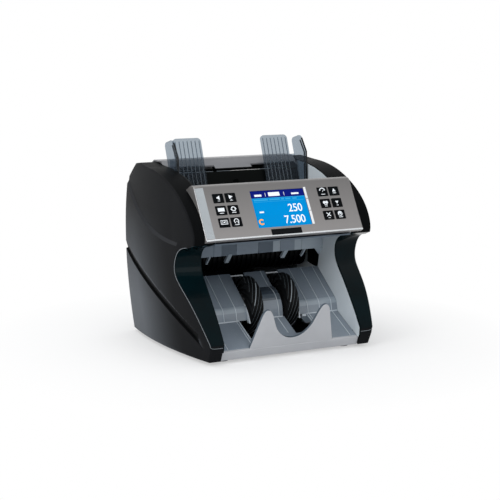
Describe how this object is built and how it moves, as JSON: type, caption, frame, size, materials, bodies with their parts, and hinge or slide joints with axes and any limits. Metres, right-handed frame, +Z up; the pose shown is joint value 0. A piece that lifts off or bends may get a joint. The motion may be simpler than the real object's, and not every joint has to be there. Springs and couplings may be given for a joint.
{
  "type": "banknote counting machine",
  "caption": "Desktop banknote counting machine with a top hopper, sloping keypad with colour screen, vaned stacker wheels and an open front tray.",
  "frame": {"origin": "on the floor under the middle of the machine's box", "axes": "+X to the operator's right, +Y towards the back, +Z up; the control panel faces -Y"},
  "size_m": [0.3, 0.2786, 0.294],
  "materials": {
    "cover_black": "moulded ABS with a fine spark-eroded texture",
    "chassis_steel": "zinc-plated sheet steel and ground rod",
    "base_grey": "moulded ABS",
    "inner_grey": "satin moulded ABS",
    "silver_trim": "fine metallic silver paint",
    "tray_smoke": "tinted polycarbonate, polished",
    "clear_smoke": "clear smoky polycarbonate",
    "panel_grey": "warm grey metallic paint on ABS",
    "screen_blue": "lit colour display behind glass",
    "badge_black": "bare glossy plate",
    "key_black": "black key caps with white symbols",
    "circuit_green": "solder mask",
    "hopper_black": "satin black ABS",
    "hopper_grey": "satin grey ABS",
    "bush_bronze": "sintered bronze",
    "roller_rubber": "moulded rubber",
    "shaft_steel": "ground steel",
    "drum_black": "black acetal",
    "wheel_black": "flexible black vanes",
    "motor_grey": "plated steel can",
    "nylon_white": "white acetal",
    "fitting_black": "black nylon"
  },
  "bodies": {
    "chassis": {"base_plate": "base_grey", "rubber_feet": "roller_rubber", "left_side_frame": "chassis_steel", "right_side_frame": "chassis_steel", "left_side_cover": "cover_black", "right_side_cover": "cover_black", "left_inner_wall": "inner_grey", "right_inner_wall": "inner_grey", "front_trim_bar": "silver_trim", "tray_floor": "tray_smoke", "note_stop_plate": "silver_trim", "left_drum_cover": "tray_smoke", "centre_drum_cover": "tray_smoke", "right_drum_cover": "tray_smoke", "upper_note_guide": "clear_smoke", "control_panel": "panel_grey", "display_module": "screen_blue", "badge_plate": "badge_black", "key_circuit_board": "circuit_green", "hopper_plate": "hopper_black", "hopper_rear_cover": "hopper_grey", "guide_rods": "chassis_steel", "shaft_bushes": "bush_bronze", "retard_rollers": "roller_rubber", "drive_motor": "motor_grey", "drive_belts": "roller_rubber", "sensor_bar": "hopper_black", "main_circuit_board": "circuit_green", "power_supply": "motor_grey", "power_inlet": "fitting_black", "data_ports": "shaft_steel", "rear_cover": "cover_black", "cover_screws": "shaft_steel"},
    "key_left_1_cap": {"key_left_1": "key_black"},
    "key_left_2_cap": {"key_left_2": "key_black"},
    "key_left_3_cap": {"key_left_3": "key_black"},
    "key_left_4_cap": {"key_left_4": "key_black"},
    "key_left_5_cap": {"key_left_5": "key_black"},
    "key_left_6_cap": {"key_left_6": "key_black"},
    "key_right_1_cap": {"key_right_1": "key_black"},
    "key_right_2_cap": {"key_right_2": "key_black"},
    "key_right_3_cap": {"key_right_3": "key_black"},
    "key_right_4_cap": {"key_right_4": "key_black"},
    "key_right_5_cap": {"key_right_5": "key_black"},
    "key_right_6_cap": {"key_right_6": "key_black"},
    "left_guide": {"left_note_guide": "clear_smoke"},
    "right_guide": {"right_note_guide": "clear_smoke"},
    "pinion": {"guide_pinion": "nylon_white"},
    "transport": {"transport_drum": "drum_black"},
    "feed": {"feed_shaft": "shaft_steel", "feed_rollers": "roller_rubber"},
    "pickup": {"pickup_shaft": "shaft_steel", "pickup_rollers": "roller_rubber"},
    "stacker": {"stacker_shaft": "shaft_steel", "left_stacker_wheel": "wheel_black", "right_stacker_wheel": "wheel_black"},
    "motor_rotor": {"motor_pulley": "shaft_steel"},
    "rocker": {"power_switch": "fitting_black"},
    "rear_door_panel": {"rear_door": "cover_black"},
    "gap_knob": {"feed_gap_knob": "fitting_black"}
  },
  "joints": [
    {"name": "key_left_1_press", "type": "slide", "parent": "chassis", "child": "key_left_1_cap", "axis": [0, 0.866, -0.5], "range_m": [0, 0.0008], "stiffness_N_per_m": 300, "springref_m": -0.001},
    {"name": "key_left_2_press", "type": "slide", "parent": "chassis", "child": "key_left_2_cap", "axis": [0, 0.866, -0.5], "range_m": [0, 0.0008], "stiffness_N_per_m": 300, "springref_m": -0.001},
    {"name": "key_left_3_press", "type": "slide", "parent": "chassis", "child": "key_left_3_cap", "axis": [0, 0.866, -0.5], "range_m": [0, 0.0008], "stiffness_N_per_m": 300, "springref_m": -0.001},
    {"name": "key_left_4_press", "type": "slide", "parent": "chassis", "child": "key_left_4_cap", "axis": [0, 0.866, -0.5], "range_m": [0, 0.0008], "stiffness_N_per_m": 300, "springref_m": -0.001},
    {"name": "key_left_5_press", "type": "slide", "parent": "chassis", "child": "key_left_5_cap", "axis": [0, 0.866, -0.5], "range_m": [0, 0.0008], "stiffness_N_per_m": 300, "springref_m": -0.001},
    {"name": "key_left_6_press", "type": "slide", "parent": "chassis", "child": "key_left_6_cap", "axis": [0, 0.866, -0.5], "range_m": [0, 0.0008], "stiffness_N_per_m": 300, "springref_m": -0.001},
    {"name": "key_right_1_press", "type": "slide", "parent": "chassis", "child": "key_right_1_cap", "axis": [0, 0.866, -0.5], "range_m": [0, 0.0008], "stiffness_N_per_m": 300, "springref_m": -0.001},
    {"name": "key_right_2_press", "type": "slide", "parent": "chassis", "child": "key_right_2_cap", "axis": [0, 0.866, -0.5], "range_m": [0, 0.0008], "stiffness_N_per_m": 300, "springref_m": -0.001},
    {"name": "key_right_3_press", "type": "slide", "parent": "chassis", "child": "key_right_3_cap", "axis": [0, 0.866, -0.5], "range_m": [0, 0.0008], "stiffness_N_per_m": 300, "springref_m": -0.001},
    {"name": "key_right_4_press", "type": "slide", "parent": "chassis", "child": "key_right_4_cap", "axis": [0, 0.866, -0.5], "range_m": [0, 0.0008], "stiffness_N_per_m": 300, "springref_m": -0.001},
    {"name": "key_right_5_press", "type": "slide", "parent": "chassis", "child": "key_right_5_cap", "axis": [0, 0.866, -0.5], "range_m": [0, 0.0008], "stiffness_N_per_m": 300, "springref_m": -0.001},
    {"name": "key_right_6_press", "type": "slide", "parent": "chassis", "child": "key_right_6_cap", "axis": [0, 0.866, -0.5], "range_m": [0, 0.0008], "stiffness_N_per_m": 300, "springref_m": -0.001},
    {"name": "left_guide_slide", "type": "slide", "parent": "chassis", "child": "left_guide", "axis": [1, 0, 0], "range_m": [0, 0.038]},
    {"name": "right_guide_slide", "type": "slide", "parent": "chassis", "child": "right_guide", "axis": [-1, 0, 0], "range_m": [0, 0.038]},
    {"name": "pinion_turn", "type": "hinge", "parent": "chassis", "child": "pinion", "pos_m": [0, 0.08013, 0.228], "axis": [0, 1, 0], "range_deg": [0, 275]},
    {"name": "transport_spin", "type": "hinge", "parent": "chassis", "child": "transport", "pos_m": [0, 0.02713, 0.122], "axis": [1, 0, 0], "continuous": true},
    {"name": "feed_spin", "type": "hinge", "parent": "chassis", "child": "feed", "pos_m": [0, -0.02886, 0.1655], "axis": [1, 0, 0], "continuous": true},
    {"name": "pickup_spin", "type": "hinge", "parent": "chassis", "child": "pickup", "pos_m": [0, 0.01114, 0.18], "axis": [1, 0, 0], "continuous": true},
    {"name": "stacker_spin", "type": "hinge", "parent": "chassis", "child": "stacker", "pos_m": [0, -0.03587, 0.059], "axis": [1, 0, 0], "continuous": true},
    {"name": "motor_spin", "type": "hinge", "parent": "chassis", "child": "motor_rotor", "pos_m": [0, 0.08714, 0.064], "axis": [1, 0, 0], "continuous": true},
    {"name": "power_rocker", "type": "hinge", "parent": "chassis", "child": "rocker", "pos_m": [-0.05, 0.13214, 0.034], "axis": [0, 0, 1], "range_deg": [-16, 0]},
    {"name": "rear_door_hinge", "type": "hinge", "parent": "chassis", "child": "rear_door_panel", "pos_m": [0, 0.13364, 0.1015], "axis": [1, 0, 0], "range_deg": [-95, 0]},
    {"name": "feed_gap_turn", "type": "hinge", "parent": "chassis", "child": "gap_knob", "pos_m": [0, 0.11825, 0.24705], "axis": [0, 0.4856, 0.8742], "range_deg": [0, 330]}
  ],
  "couplings": [
    {"joint": "right_guide_slide", "follows": "left_guide_slide", "ratio": 1},
    {"joint": "pinion_turn", "follows": "left_guide_slide", "rad_per_m": 125},
    {"joint": "motor_spin", "follows": "transport_spin", "ratio": 1.75},
    {"joint": "feed_spin", "follows": "transport_spin", "ratio": 1},
    {"joint": "pickup_spin", "follows": "transport_spin", "ratio": 1},
    {"joint": "stacker_spin", "follows": "transport_spin", "ratio": 0.41667}
  ]
}
